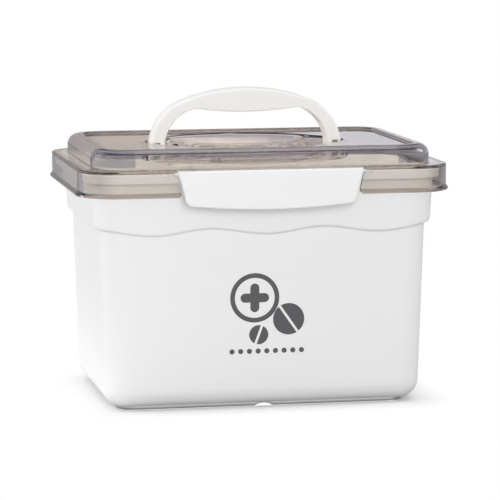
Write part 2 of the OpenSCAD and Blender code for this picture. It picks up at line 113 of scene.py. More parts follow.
# %% [markdown]
# ## Skins
# A skin is a stack of outlines joined by strips of faces, and its first and last outline are filled.
# A Screw or a Skin modifier can't follow outlines that change shape on the way, so the faces are
# listed here and Blender's mesh tools finish them: points in one place are merged, and all faces are
# turned outwards.

# %% Skins from outlines
SAME_PLACE = 1e-7  # points closer than this, in metres, are one point


def in_scene(name, data):
    """New object of this data, linked into the scene."""
    made = bpy.data.objects.new(name, data)
    bpy.context.scene.collection.objects.link(made)
    return made


def skin(name, rings, filled=True):
    """Object whose faces join each outline to the next, with its two ends filled or open."""
    count = len(rings[0])
    last = (len(rings) - 1) * count
    verts = [Vector(point) * MM for outline in rings for point in outline]
    faces = []
    for low in range(0, last, count):
        high = low + count
        for k in range(count):
            after = (k + 1) % count
            faces.append((low + k, low + after, high + after, high + k))
    if filled:
        faces.append(tuple(reversed(range(count))))
        faces.append(tuple(range(last, last + count)))
    mesh = bpy.data.meshes.new(name)
    mesh.from_pydata(verts, [], faces)
    shape = bmesh.new()
    shape.from_mesh(mesh)
    bmesh.ops.remove_doubles(shape, verts=shape.verts, dist=SAME_PLACE)
    bmesh.ops.recalc_face_normals(shape, faces=shape.faces)
    shape.to_mesh(mesh)
    shape.free()
    return in_scene(name, mesh)


# %% [markdown]
# ## Blocks, circles and rectangles
# Hooks, barrels, ears and pins are plain shapes. Blender's own cube and cylinder would do, but they
# would then have to be moved and turned into place. Here each is a skin of just two outlines, drawn
# where it belongs.

# %% Plain shapes
def along_x(name, outline, start, end):
    """Closed block: an outline in y and z, carried from one x to another."""
    return skin(name, [[(x, y, z) for y, z in outline] for x in (start, end)])


def along_y(name, outline, start, end):
    """Closed block: an outline in x and z, carried from one y to another."""
    return skin(name, [[(x, y, z) for x, z in outline] for y in (start, end)])


def crosswise(name, outline, middle, half):
    """Closed block along x that reaches equally far to both sides of a middle."""
    return along_x(name, outline, middle - half, middle + half)


def circle(centre, radius, steps=48, start=0, turn=360):
    """Points round a circle, or along an arc of it."""
    return [(centre[0] + radius * cos(radians(start + turn * k / steps)),
             centre[1] + radius * sin(radians(start + turn * k / steps)))
            for k in range(steps if turn == 360 else steps + 1)]


def rectangle(left, right, low, high):
    """The four corners of a rectangle."""
    return [(left, low), (right, low), (right, high), (left, high)]


# %% [markdown]
# ## Joining, cutting and shading
# A slot or a bore is cut with a Boolean modifier, set to its exact solver because the walls are thin.
# Where one shape only stands on another and the joint doesn't show, both meshes simply go into one
# object, which can't go wrong. Moulded plastic shows no facets, so faces are shaded smooth, and a
# Weighted Normal modifier keeps the large faces flat and bends only the narrow ones at the edges.

# %% Joining, cutting and shading
def combine(base, others, operation):
    """Joins other closed shapes to the base or cuts them out of it, and removes them."""
    for other in others:
        step = base.modifiers.new("step", "BOOLEAN")
        step.object = other
        step.operation = operation
        step.solver = "EXACT"
    bpy.context.view_layer.update()
    evaluated = base.evaluated_get(bpy.context.evaluated_depsgraph_get())
    result = bpy.data.meshes.new_from_object(evaluated)
    base.modifiers.clear()
    base.data = result
    for other in others:
        bpy.data.objects.remove(other)
    return base


def add_shells(base, others):
    """Adds other closed shapes to the base's mesh as they are, and removes them."""
    shape = bmesh.new()
    shape.from_mesh(base.data)
    for other in others:
        shape.from_mesh(other.data)
        bpy.data.objects.remove(other)
    shape.to_mesh(base.data)
    shape.free()
    return base


def smooth(made, angle=35):
    """Smooth shading that keeps edges sharper than an angle, evened out over the large faces."""
    made.data.shade_smooth()
    made.data.set_sharp_from_angle(angle=radians(angle))
    even = made.modifiers.new("even shading", "WEIGHTED_NORMAL")
    even.keep_sharp = True
    even.weight = 80
    print(made.name, "faces:", len(made.data.polygons))
    return made


# %% [markdown]
# ## The tub
# The tub is one moulding: foot ring, rounded bottom, leaning walls, a rim band that stands proud with
# a wavy lower edge, and a flange turned down round the top. It could be joined from rings and boxes,
# but then each joint would need an edge of its own. One skin follows the plastic instead: up the
# outside from the underside, over the rim and down to the inside floor, and every edge gets its small
# radius on the way. The wave and the notches are only levels that change along an outline.

# %% The tub's sizes
SHEET = 2.2  # thickness of the walls of tub and lid
FOOT, FOOT_WIDTH, FOOT_TOP = (107.5, 71.8, 16), 4, 2.9
UNDERSIDE = 2.0
NOTCH_RADIUS, NOTCH_HALF, NOTCH_HEIGHT = 11.5625, 6.5, 2
BOTTOM, BOTTOM_RADIUS = (102.8, 66.8, 4), 14
WALL_X, WALL_Y, WALL_CORNER = 116.8, 80.8, 18  # where the wall begins
WALL_LOW, WALL_HEIGHT = 16, 118.7
WALL_LEAN_X, WALL_LEAN_Y = 3.35, 3.2
WAVE_LEVEL, WAVE_HEIGHT, WAVE_LENGTH = 130.3, 2.2, 248.3 / 3
BAND_X, BAND_Y, BAND_CORNER = 124.15, 88, 22
BAND_LOW, BAND_HEIGHT, BAND_LEAN = 132.5, 39.5, 2
SHELF = 134.7  # level of the shelf inside, at the lower edge of the band
FLANGE = (131, 94.5, 28.85)
FLANGE_LOW = 166
TUB_TOP = 172


def notch(x, y):
    """Height of the foot ring's lower edge: an arch in the middle of each side."""
    place = min(abs(x), abs(y))
    if place >= NOTCH_HALF:
        return 0
    return max(0, sqrt(NOTCH_RADIUS ** 2 - place ** 2) - NOTCH_RADIUS + NOTCH_HEIGHT)


def wave(x, y):
    """Height of the band's lower edge."""
    return WAVE_LEVEL - WAVE_HEIGHT * cos(radians(360 * x / WAVE_LENGTH))


def raised(level, rise):
    """A level that changes with x and y, raised by a fixed amount."""
    return lambda x, y: level(x, y) + rise


def wall(level, out=0):
    """Half sizes and corner of the tub's leaning wall at a level, grown outwards."""
    share = (level - WALL_LOW) / WALL_HEIGHT
    return WALL_X + WALL_LEAN_X * share + out, WALL_Y + WALL_LEAN_Y * share + out, WALL_CORNER + out


def band(level, out=0):
    """Half sizes and corner of the rim band at a level, grown outwards."""
    lean = BAND_LEAN * (level - BAND_LOW) / BAND_HEIGHT
    return BAND_X + lean + out, BAND_Y + lean + out, BAND_CORNER + out


print("wall at its foot:", wall(WALL_LOW), "band at its top:", band(TUB_TOP))

# %% The tub's skin
tub_rings = [ring(*grown(FOOT, -FOOT_WIDTH), UNDERSIDE)]
for inset, rise in [(5.5, 0), (5.3, 0), (2.2, 0), (1.8, 0.15), (1.5, 0.5)]:
    tub_rings.append(ring(*grown(FOOT, -inset), raised(notch, rise)))
tub_rings.append(ring(*FOOT, FOOT_TOP))
tub_rings += rounded(BOTTOM, BOTTOM_RADIUS, WALL_LOW, (21, 27, 34, 41, 48, 55, 62, 69, 76, 83, 90), -1)
tub_rings += climb(wall, [(0, 22), (0, 50), (0, 80), (0, 105)])
for out, rise in [(0, -3.5), (0, -1.6), (0.15, -1.1), (0.5, -0.75), (1.2, -0.45), (2.4, -0.1),
                  (3.2, 0.2), (3.7, 0.6), (4.0, 1.2), (4.13, 2.0)]:
    tub_rings.append(ring(*wall(WAVE_LEVEL, out), raised(wave, rise)))
tub_rings += climb(band, [(0, 135.5), (0, 150), (0, 165), (0, 169.4), (0.4, TUB_TOP - SHEET)])
tub_rings += stack(FLANGE, [(-2.6, -SHEET), (-SHEET, -2.6)], TUB_TOP)
tub_rings += stack(FLANGE, [(-SHEET, 0.5), (-2.05, 0.15), (-1.7, 0), (-0.5, 0), (-0.15, 0.15), (0, 0.5)],
                   FLANGE_LOW)
tub_rings += stack(FLANGE, [(0, -0.6), (-0.18, -0.18), (-0.6, 0)], TUB_TOP)
tub_rings += climb(band, [
    (-1.7, TUB_TOP), (-2.05, TUB_TOP - 0.15), (-SHEET, TUB_TOP - 0.5), (-SHEET, 155), (-SHEET, 136),
    (-2.35, SHELF + 0.35), (-2.9, SHELF)])
tub_rings += climb(wall, [
    (-1.7, SHELF), (-2.1, SHELF - 0.2), (-SHEET, SHELF - 0.6), (-SHEET, 100), (-SHEET, 60), (-SHEET, 20)])
tub_rings += rounded(BOTTOM, BOTTOM_RADIUS - SHEET, WALL_LOW + 0.2, (90, 75, 60, 45, 30, 15, 4), -1)
tub = smooth(skin("tub_skin", tub_rings))
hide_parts("tub")
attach(tub, "tub")

# %% [markdown]
# ## The print
# The front carries a one-colour print. This one is a plain design: a cross in a ring, two round
# tablets with a score line, and a row of dots. The tub's material could paint it, but clean edges
# would then take a picture or a long formula. Ink has next to no thickness, so each shape is a film
# that just stands off the wall, with edges as clean as its outline.

# %% Print
INK_BEHIND, INK_PROUD = -0.05, 0.06
EMBLEM = (-9, 81)
EMBLEM_OUTSIDE, EMBLEM_INSIDE = 18, 14.6
CROSS_REACH, CROSS_HALF = 10.5, 3.3
ARM_END_TURN = 180.001  # degrees that the rounded end of an arm turns through
TABLETS = [((16, 65), 11.5, 35), ((-6, 54), 7, -20)]  # centre, radius, turn of the score line
SCORE_HALF = 0.9
DOTS, DOT_PITCH, DOT_LEVEL, DOT_RADIUS = 9, 6.4, 42, 1.9


def on_wall(outline, off):
    """A flat outline in x and z, laid on the tub's leaning front."""
    return [(x, -(wall(z)[1] + off), z) for x, z in outline]


def film(outer, inner=None):
    """Film of ink inside an outline, or between two outlines."""
    rings = [on_wall(outer, INK_BEHIND), on_wall(outer, INK_PROUD)]
    if inner is None:
        return skin("film", rings)
    rings += [on_wall(inner, INK_PROUD), on_wall(inner, INK_BEHIND)]
    return skin("film", rings + rings[:1], filled=False)


def cross(centre, reach, half, steps=8):
    """Outline of a cross with rounded ends."""
    points = []
    for turn in (0, 90, 180, 270):
        along, between_arms = radians(turn), radians(turn + 45)
        tip = (centre[0] + (reach - half) * cos(along), centre[1] + (reach - half) * sin(along))
        points += circle(tip, half, steps, turn - 90, ARM_END_TURN)
        points.append((centre[0] + half * sqrt(2) * cos(between_arms),
                       centre[1] + half * sqrt(2) * sin(between_arms)))
    return points


def half_tablet(centre, radius, turn):
    """Outline of one half of a scored tablet."""
    open_angle = degrees(acos(SCORE_HALF / radius))
    return circle(centre, radius, 28, turn - open_angle, 2 * open_angle)


films = [film(circle(EMBLEM, EMBLEM_OUTSIDE, 64), circle(EMBLEM, EMBLEM_INSIDE, 64)),
         film(cross(EMBLEM, CROSS_REACH, CROSS_HALF))]
for centre, radius, turn in TABLETS:
    for half_turn in (0, 180):
        films.append(film(half_tablet(centre, radius, turn + half_turn)))
for k in range(DOTS):
    films.append(film(circle((DOT_PITCH * (k - DOTS // 2), DOT_LEVEL), DOT_RADIUS, 24)))
print("printed shapes:", len(films))
printed = add_shells(films[0], films[1:])
printed.name = "front_print"
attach(printed, "tub")

# %% [markdown]
# ## The lid's well and the handle's arch
# The folded handle lies in a well of the lid. The well is drawn round the middle of the lid: in every
# direction its wall is either the leaning round wall of the finger well or the pocket that follows
# the handle's outer edge, whichever reaches further out. Cutting both shapes out of a block with
# Booleans would leave a hard edge where they meet, while a soft maximum of the two lengths rounds it.
# The handle's arch is one wide arc, the crown, between two narrow ones, the shoulders.

# %% Sizes that the well shares with the handle
HINGE = 183.2  # level of the handle's pins
SPAN = 144.5  # width over both legs
RISE = 44.4  # height of the crown above the pins
CROWN, SHOULDER = 128, 38.5  # radii of the outer face
SHOULDER_X = SPAN / 2 - SHOULDER
CROWN_Z = RISE - CROWN
SHOULDER_Z = CROWN_Z + sqrt((CROWN - SHOULDER) ** 2 - SHOULDER_X ** 2)
STRAP_HALF = 8.5
POCKET_ROOM = 1.5  # gap between the folded handle and the pocket's wall
PLATE = 187.5  # level of the flat field on top of the lid
WELL_FLOOR, WELL_UNDER = 174.4, 173.5
WELL_RADIUS, WELL_SPREAD = 48, 18  # at its floor, and how much more at the plate
WELL_LEAN = WELL_SPREAD / (PLATE - WELL_FLOOR)
CONE_SHEET = SHEET * hypot(1, WELL_LEAN)


def soft_max(a, b, softness=1.0):
    """The larger of two lengths, with a soft change from one to the other."""
    return 0.5 * (a + b + hypot(a - b, softness))


def pocket_reach(direction, grow):
    """How far the handle's pocket reaches from the middle in a direction."""
    across, along = abs(cos(direction)), abs(sin(direction))
    crown, shoulder = CROWN + grow, SHOULDER + grow
    reach = CROWN_Z * along + sqrt(crown ** 2 - (CROWN_Z * across) ** 2)
    if reach * across > crown * SHOULDER_X / (CROWN - SHOULDER):
        toward = SHOULDER_X * across + SHOULDER_Z * along
        aside = SHOULDER_X * along - SHOULDER_Z * across
        reach = toward + sqrt(shoulder ** 2 - aside ** 2)
    half_x, half_y = SPAN / 2 + grow, STRAP_HALF + grow
    block = half_x / across if half_x * along <= half_y * across else half_y / along
    return max(reach, block)


def well_reach(direction, level, under):
    """How far the well's wall, or its underside, lies from the middle in a direction."""
    cone = WELL_RADIUS + WELL_LEAN * (level - WELL_FLOOR) + (CONE_SHEET if under else 0)
    return soft_max(cone, pocket_reach(direction, POCKET_ROOM + (SHEET if under else 0)))


print("well to the right:", round(well_reach(0, PLATE, False), 2), "mm")
print("well to the back:", round(well_reach(radians(90), PLATE, False), 2), "mm")

# %% [markdown]
# ## The lid
# The lid is one clear moulding: a skirt with a bead along its lower edge, a ledge, a raised top with
# a large soft edge, and the well. Seen through, a single sheet of faces would look like a soap film,
# so this skin is closed and has the real wall thickness, in which light bends and is tinted. It
# starts on the well's floor, runs up over the plate and down the outside, turns under the bead, and
# comes back along the inside to the well's underside.

# %% The lid's sizes
LID_TOP = 189.4
DOME = (116.25, 79.85, 18.8)
DOME_RADIUS = 8
DOME_LEVEL = LID_TOP - DOME_RADIUS
PLATE_EDGE = -5
LEDGE, INSIDE_LOW = 175.6, 174
SKIRT, SKIRT_LOW = (135, 98.5, 29), 156.3
BEAD = [(0, 3.7), (0.25, 3.05), (0.9, 2.7), (1.35, 2.3), (1.5, 1.7), (1.5, 0.8), (1.3, 0.2), (0.8, 0),
        (-2.4, 0), (-2.9, 0.2), (-3.1, 0.7), (-3.0, 1.7), (-2.6, 2.4), (-SHEET, 3)]
RIB, RIB_LOW = (123.55, 87.4, 19.4), 170.6  # the locating rib that hangs inside the tub's rim
FLOOR_CORNER, MOUTH_RADIUS = 2, 1.2
ON_THE_WAY = (0.04, 0.35, 0.7, 0.96)
plate_edge = ring(*grown(DOME, PLATE_EDGE), PLATE)
directions = [atan2(y, x) for x, y, z in plate_edge]


def well_ring(level, inset=0, wall_level=None, under=False, scale=1):
    """Outline of the well at a level. The wall's place may be taken at another level."""
    at = level if wall_level is None else wall_level
    points = []
    for direction in directions:
        reach = (well_reach(direction, at, under) - inset) * scale
        points.append((reach * cos(direction), reach * sin(direction), level))
    return points


def floor_corner(floor_level, wall_level, angles, under=False):
    """Outlines round the corner between the well's floor and its wall."""
    rings = []
    for a in angles:
        rise = FLOOR_CORNER * (1 - cos(radians(a)))
        inset = FLOOR_CORNER * (1 - sin(radians(a)))
        rings.append(well_ring(floor_level + rise, inset, wall_level, under))
    return rings


def well_mouth(level, angles, under=False):
    """Outlines over the well's rounded mouth."""
    rings = []
    for a in angles:
        rise = MOUTH_RADIUS * sin(radians(a))
        inset = -MOUTH_RADIUS * (1 - cos(radians(a)))
        rings.append(well_ring(level - MOUTH_RADIUS + rise, inset, under=under))
    return rings


def spread(first, second):
    """Outlines on the way from one to another, close to both ends and in between."""
    return [[tuple(a + (b - a) * share for a, b in zip(p, q)) for p, q in zip(first, second)]
            for share in ON_THE_WAY]


print("flat field:", 2 * (DOME[0] + PLATE_EDGE), "by", round(2 * (DOME[1] + PLATE_EDGE), 2), "mm")

# %% The lid's skin
lid_rings = [well_ring(WELL_FLOOR, FLOOR_CORNER, scale=0.5), well_ring(WELL_FLOOR, FLOOR_CORNER)]
lid_rings += floor_corner(WELL_FLOOR, WELL_FLOOR + 1, (25, 50, 75))
lid_rings += [well_ring(level) for level in (176.5, 179.5, 182, PLATE - MOUTH_RADIUS)]
lid_rings += well_mouth(PLATE, (30, 60, 90))
lid_rings += spread(lid_rings[-1], plate_edge)
lid_rings += stack(DOME, [(PLATE_EDGE, 0), (-4.3, 0.1), (-3.9, 0.4), (-3.7, 0.9), (-3.4, 1.4),
                          (-2.9, 1.75), (-2.2, 1.85), (-1.5, 1.9)], PLATE)
lid_rings += rounded(DOME, DOME_RADIUS, DOME_LEVEL, range(0, 91, 9))
lid_rings += stack(grown(DOME, DOME_RADIUS), [(0, 1), (0.12, 0.38), (0.4, 0.1), (0.9, 0)], LEDGE)
lid_rings += stack(SKIRT, [(-1.2, 0), (-0.6, -0.13), (-0.16, -0.5), (0, -1.1)], LEDGE)
lid_rings += stack(SKIRT, BEAD, SKIRT_LOW)
lid_rings += stack(SKIRT, [(-SHEET, -0.8), (-2.35, -0.2), (-2.9, 0)], LEDGE - SHEET)
lid_rings += stack(RIB, [(0.4, 2.8), (0, 2.6), (0, 0.4), (-0.3, 0), (-1.9, 0), (-SHEET, 0.4),
                         (-SHEET, 2.4)], RIB_LOW)
lid_rings.append(ring(*grown(DOME, DOME_RADIUS - SHEET), INSIDE_LOW))
lid_rings += rounded(DOME, DOME_RADIUS - SHEET, DOME_LEVEL, range(90, -1, -9))
lid_rings += stack(DOME, [(-0.9, 1.8), (-1.4, 1.5), (-1.7, 1), (-2.0, 0.5), (-2.5, 0.1), (-3.2, 0)],
                   PLATE - SHEET)
lid_rings += spread(lid_rings[-1], well_ring(PLATE - SHEET, -MOUTH_RADIUS, under=True))
lid_rings += well_mouth(PLATE - SHEET, (90, 60, 30, 0), under=True)
lid_rings += [well_ring(level, under=True) for level in (180, 177.5, 175.6)]
lid_rings += floor_corner(WELL_UNDER, WELL_UNDER + 0.5, (75, 50, 25, 0), under=True)
lid_rings.append(well_ring(WELL_UNDER, FLOOR_CORNER, WELL_UNDER + 0.5, True, 0.5))
lid = skin("lid_skin", lid_rings)
print("lid outlines:", len(lid_rings))

# %% [markdown]
# ## Cut-outs, ears and webs
# The skirt is cut out at the front and the back for the latches, with a web on both sides of each
# cut-out for the latch's stubs. Two ears stand in the well for the handle's pins. Drawing these into
# the outlines would bend the whole stack, so they are joined and cut with Booleans after it.

# %% Cut-outs, ears and webs
CUT_TOP, CUT_LOW, CUT_CORNER = 68.6, 65.0, 2.8
CUT_FLARE, CUT_BELOW = 6, 2.3  # how far the cutter reaches aside and below the skirt
CUT_INSIDE, CUT_OUTSIDE = 93.4, 102
EAR_X, EAR_RADIUS, EAR_HALF, EAR_FOOT = 67.05, 4, 2, 174
PIN_RADIUS, PIN_PLAY = 2.0, 0.08
WEB_END, WEB_INSIDE, WEB_OUTSIDE = 74, 94.8, 97.5
WEB_LOW, WEB_TOP = 170.3, 173.6

cut_side = [(CUT_LOW + CUT_FLARE, SKIRT_LOW - CUT_BELOW), (CUT_LOW + CUT_CORNER, SKIRT_LOW)]
for angle in range(15, 91, 15):
    cut_side.append((CUT_LOW + CUT_CORNER * (1 - sin(radians(angle))),
                     SKIRT_LOW + CUT_CORNER * (1 - cos(radians(angle)))))
cut_side.append((CUT_TOP, LEDGE + 1))
cut_outline = cut_side + [(-x, z) for x, z in reversed(cut_side)]
cutters = [along_y("cut", cut_outline, side * CUT_INSIDE, side * CUT_OUTSIDE) for side in (-1, 1)]
combine(lid, cutters, "DIFFERENCE")

additions = []
for side in (-1, 1):
    ear = circle((0, HINGE), EAR_RADIUS, 24, 0, 180) + [(-EAR_RADIUS, EAR_FOOT), (EAR_RADIUS, EAR_FOOT)]
    additions.append(crosswise("ear", ear, side * EAR_X, EAR_HALF))
    for back in (-1, 1):
        web = rectangle(back * WEB_INSIDE, back * WEB_OUTSIDE, WEB_LOW, WEB_TOP)
        additions.append(along_x("web", web, side * CUT_TOP, side * WEB_END))
combine(lid, additions, "UNION")
bore = circle((0, HINGE), PIN_RADIUS + PIN_PLAY, 24)
bores = [crosswise("bore", bore, side * EAR_X, EAR_HALF + 1) for side in (-1, 1)]
combine(lid, bores, "DIFFERENCE")
smooth(lid, 32)
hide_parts("lid")
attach(lid, "lid")

# %% [markdown]
# ## The latches
# Each latch is a thin plate with soft edges, hung on a barrel at its top and bowed along its lower
# edge for the fingertips. A hook on its back goes over the tub's flange. A flat block with a Bevel
# modifier would round all its edges alike, but here the front edge is softer than the back one. So
# the plate is a stack of outlines from back to front, each drawn in as its edge needs.

# %% Latches
LATCH_TOP, LATCH_LOW = 175.2, 149.7
LATCH_HALF, LATCH_LOW_HALF = 67.2, 62.5
LATCH_CORNER, LATCH_TOP_CORNER, LATCH_BOW = 6.5, 1.2, 2.9
LATCH_EDGE = [(0.7, 98.6), (0.2, 98.75), (0, 99.2), (0, 99.7), (0.1, 100.1), (0.4, 100.5),
              (0.8, 100.7), (1.3, 100.78), (4, 100.8)]  # how far drawn in, and how far out in y
LATCH_HINGE_Y, LATCH_HINGE_Z = 96.6, 172.9
BARREL_RADIUS = 2
STUB_RADIUS, STUB_REACH = 0.9, 69.6
IN_PLATE = 98.9  # where neck and hook end inside the plate
HOOK_Y, HOOK_HALF = 94.8, 45
HOOK_TOP, HOOK_TIP, HOOK_FOOT = 165.6, 164.6, 161


def latch_outline(inset):
    """Outline of the latch's plate seen from the front, drawn in by an amount."""
    top_x, top_z, side_z = LATCH_HALF - inset, LATCH_TOP - inset, LATCH_LOW + inset
    corner, small = LATCH_CORNER - inset, max(LATCH_TOP_CORNER - inset, 0.05)
    bow_half = LATCH_LOW_HALF - LATCH_CORNER
    bow_radius = (bow_half ** 2 + LATCH_BOW ** 2) / (2 * LATCH_BOW)
    right = [(top_x - small + small * sin(radians(a)), top_z - small + small * cos(radians(a)))
             for a in range(0, 91, 15)]
    right += [(bow_half + corner * cos(radians(a)), side_z + corner - corner * sin(radians(a)))
              for a in range(0, 91, 10)]
    bow = []
    for k in range(1, 24):
        x = bow_half * (1 - k / 12)
        bow.append((x, side_z - LATCH_BOW + bow_radius - sqrt(bow_radius ** 2 - x ** 2)))
    return right + bow + [(-x, z) for x, z in reversed(right)]


def latch(node, side):
    """Latch on the front (side -1) or the back (side 1) of the lid."""
    rings = [[(x, side * y, z) for x, z in latch_outline(inset)] for inset, y in LATCH_EDGE]
    plate = skin(node + "_skin", rings)
    hinge = (side * LATCH_HINGE_Y, LATCH_HINGE_Z)
    neck = rectangle(side * LATCH_HINGE_Y, side * IN_PLATE,
                     LATCH_HINGE_Z - BARREL_RADIUS, LATCH_HINGE_Z + BARREL_RADIUS)
    hook = [(side * IN_PLATE, HOOK_TOP), (side * HOOK_Y, HOOK_TOP),
            (side * HOOK_Y, HOOK_TIP), (side * IN_PLATE, HOOK_FOOT)]
    parts = [crosswise("barrel", circle(hinge, BARREL_RADIUS, 24), 0, LATCH_HALF),
             crosswise("neck", neck, 0, LATCH_HALF - 0.1),
             crosswise("stubs", circle(hinge, STUB_RADIUS, 16), 0, STUB_REACH),
             crosswise("hook", hook, 0, HOOK_HALF)]
    made = smooth(add_shells(plate, parts), 40)
    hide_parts(node)
    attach(made, node)
    return made


front_latch = latch("front_latch", -1)
rear_latch = latch("rear_latch", 1)

# %% [markdown]
# ## The handle
# A broad strap bent over two tight shoulders, thicker at the grip, where its lower face bulges down
# into the hand. A bent curve with a bevel would keep one thickness all along. So points of the outer
# and the inner face are paired from one foot to the other, and a section with a domed outer face and
# soft inner edges is drawn between each pair. Both feet are forked and close round the lid's ears.

# %% The handle's arch
LEG_THICK = 9.9
LEG_INSIDE = SPAN / 2 - LEG_THICK
LEG_LEVELS = (-8.42, -8.2, -7.7, -6.9, -5.8, -4.4, -2.8, -1.2)
INNER_SHOULDER = 31
INNER_X = LEG_INSIDE - INNER_SHOULDER
BELLY, BELLY_LOW = 270, 27.1  # radius of the grip's lower face, and its height above the pins
BELLY_SOFTNESS = 1.5
JOIN_ANGLE = 75
TANGENT = degrees(acos(SHOULDER_X / (CROWN - SHOULDER)))
SHOULDER_STEPS, CROWN_STEPS = 26, 22


def inner_height(x):
    """Height of the arch's inner face above the hinge."""
    belly = BELLY_LOW + BELLY - sqrt(BELLY ** 2 - x ** 2)
    if abs(x) <= INNER_X:
        round_part = INNER_SHOULDER
    else:
        round_part = sqrt(max(INNER_SHOULDER ** 2 - (abs(x) - INNER_X) ** 2, 0))
    return belly + round_part - soft_max(belly, round_part, BELLY_SOFTNESS)


def arch_pairs():
    """Points of the outer and inner face that lie opposite each other, from the right foot to the top."""
    pairs = [((SPAN / 2, z), (LEG_INSIDE, z)) for z in LEG_LEVELS]
    for k in range(SHOULDER_STEPS + 1):
        outer = radians(TANGENT * k / SHOULDER_STEPS)
        inner = radians(JOIN_ANGLE * k / SHOULDER_STEPS)
        outer_point = (SHOULDER_X + SHOULDER * cos(outer), SHOULDER_Z + SHOULDER * sin(outer))
        x = INNER_X + INNER_SHOULDER * cos(inner)
        z = INNER_SHOULDER * sin(inner) if k <= SHOULDER_STEPS / 2 else inner_height(x)
        pairs.append((outer_point, (x, z)))
    outer_end, inner_end = pairs[-1][0][0], pairs[-1][1][0]
    for k in range(1, CROWN_STEPS + 1):
        outer_x = outer_end * (1 - k / CROWN_STEPS)
        inner_x = inner_end * (1 - k / CROWN_STEPS)
        outer_z = CROWN_Z + sqrt(CROWN ** 2 - outer_x ** 2)
        pairs.append(((outer_x, outer_z), (inner_x, inner_height(inner_x))))
    return pairs


right_half = arch_pairs()
left_half = [((-outer[0], outer[1]), (-inner[0], inner[1])) for outer, inner in reversed(right_half[:-1])]
print("arch thickness in the middle:", round(RISE - inner_height(0), 2), "mm")

# %% The handle's skin
STRAP_DOME = 0.7
OUTER_EDGE, INNER_EDGE, EDGE_SHARE = 2.4, 1.5, 0.6
MORE_INSIDE = 0.9
MORE_OUTSIDE = 0.6
DRAWN_IN = 0.2
FLAT_STEPS = 8
FORK_GAP, FORK_ROOM = 0.3, 9
PIN_X, PIN_HALF = 67.3, 8


def strap_section(outer, inner):
    """Closed section between an outer and an inner point."""
    away = Vector((outer[0] - inner[0], 0, outer[1] - inner[1]))
    thick = away.length
    away.normalize()
    centre = Vector(((outer[0] + inner[0]) / 2, 0, (outer[1] + inner[1]) / 2 + HINGE))
    depth = STRAP_HALF if outer[1] >= 0 else sqrt(STRAP_HALF ** 2 - outer[1] ** 2)
    dome = STRAP_DOME * min(1, depth / STRAP_HALF)
    edge, inner_edge = min(OUTER_EDGE, depth * EDGE_SHARE), min(INNER_EDGE, depth * EDGE_SHARE)
    half = thick / 2 + MORE_OUTSIDE * abs(away.x) - DRAWN_IN
    under = -thick / 2 - MORE_INSIDE
    flat = depth - edge
    low = half - dome
    points = []
    for k in range(FLAT_STEPS + 1):
        y = -flat + 2 * flat * k / FLAT_STEPS
        points.append((half - dome * (y / flat) ** 2, y))
    for a in range(12, 91, 13):
        points.append((low - edge + edge * cos(radians(a)), flat + edge * sin(radians(a))))
    for a in range(0, 91, 15):
        points.append((under + inner_edge - inner_edge * sin(radians(a)),
                       depth - inner_edge + inner_edge * cos(radians(a))))
    for y in (0.5, 0, -0.5):
        points.append((under, y * (depth - inner_edge)))
    for a in range(90, -1, -15):
        points.append((under + inner_edge - inner_edge * sin(radians(a)),
                       -depth + inner_edge - inner_edge * cos(radians(a))))
    for a in range(90, 11, -13):
        points.append((low - edge + edge * cos(radians(a)), -flat - edge * sin(radians(a))))
    return [tuple(centre + away * u + Vector((0, y, 0))) for u, y in points]


handle = skin("handle_skin", [strap_section(outer, inner) for outer, inner in right_half + left_half])
fork = rectangle(-FORK_ROOM, FORK_ROOM, HINGE - FORK_ROOM, HINGE + EAR_RADIUS + FORK_GAP)
slots = [crosswise("fork", fork, side * EAR_X, EAR_HALF + FORK_GAP) for side in (-1, 1)]
combine(handle, slots, "DIFFERENCE")
pin = circle((0, HINGE), PIN_RADIUS, 24)
combine(handle, [crosswise("hole", pin, side * PIN_X, PIN_HALF) for side in (-1, 1)], "DIFFERENCE")
smooth(handle)
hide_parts("handle")
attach(handle, "handle")

# %% [markdown]
# ## Tools for finishes
# A finish is a network of nodes. Building it node by node soon hides what it works out, so one small
# class wraps a socket, and sums and products of sockets are written like numbers. Everything else
# comes from one method that adds a node, sets it and fills its sockets. Positions in a finish are in
# metres, because Blender gives them so.

# %% Sockets that reckon like numbers
class Wire:
    """One socket of a finish. Sums and products of wires make the nodes they need."""

    def __init__(self, finish, socket):
        self.finish, self.socket = finish, socket

    def of(self, name):
        """Another output of the same node."""
        return Wire(self.finish, self.socket.node.outputs[name])

    def _math(self, operation, *values, clamped=False):
        settings = {"operation": operation, "use_clamp": clamped}
        return self.finish.node("ShaderNodeMath", settings, dict(enumerate(values)))

    def __add__(self, other):
        return self._math("ADD", self, other)

    def __radd__(self, other):
        return self._math("ADD", other, self)

    def __sub__(self, other):
        return self._math("SUBTRACT", self, other)

    def __rsub__(self, other):
        return self._math("SUBTRACT", other, self)

    def __mul__(self, other):
        return self._math("MULTIPLY", self, other)

    def __rmul__(self, other):
        return self._math("MULTIPLY", other, self)

    def __truediv__(self, other):
        return self._math("DIVIDE", self, other)

    def __rtruediv__(self, other):
        return self._math("DIVIDE", other, self)

    def size(self):
        """The value without its sign."""
        return self._math("ABSOLUTE", self)

    def larger(self, other):
        """The larger of two values."""
        return self._math("MAXIMUM", self, other)

    def clamp(self):
        """The same value kept between 0 and 1."""
        return self._math("ADD", self, 0.0, clamped=True)

    def past(self, edge, soft):
        """Mask that is 0 up to an edge and grows to 1 over a soft width."""
        return ((self - edge) / soft).clamp()

    def before(self, edge, soft):
        """Mask that is 0 from an edge onwards and grows to 1 over a soft width before it."""
        return ((edge - self) / soft).clamp()


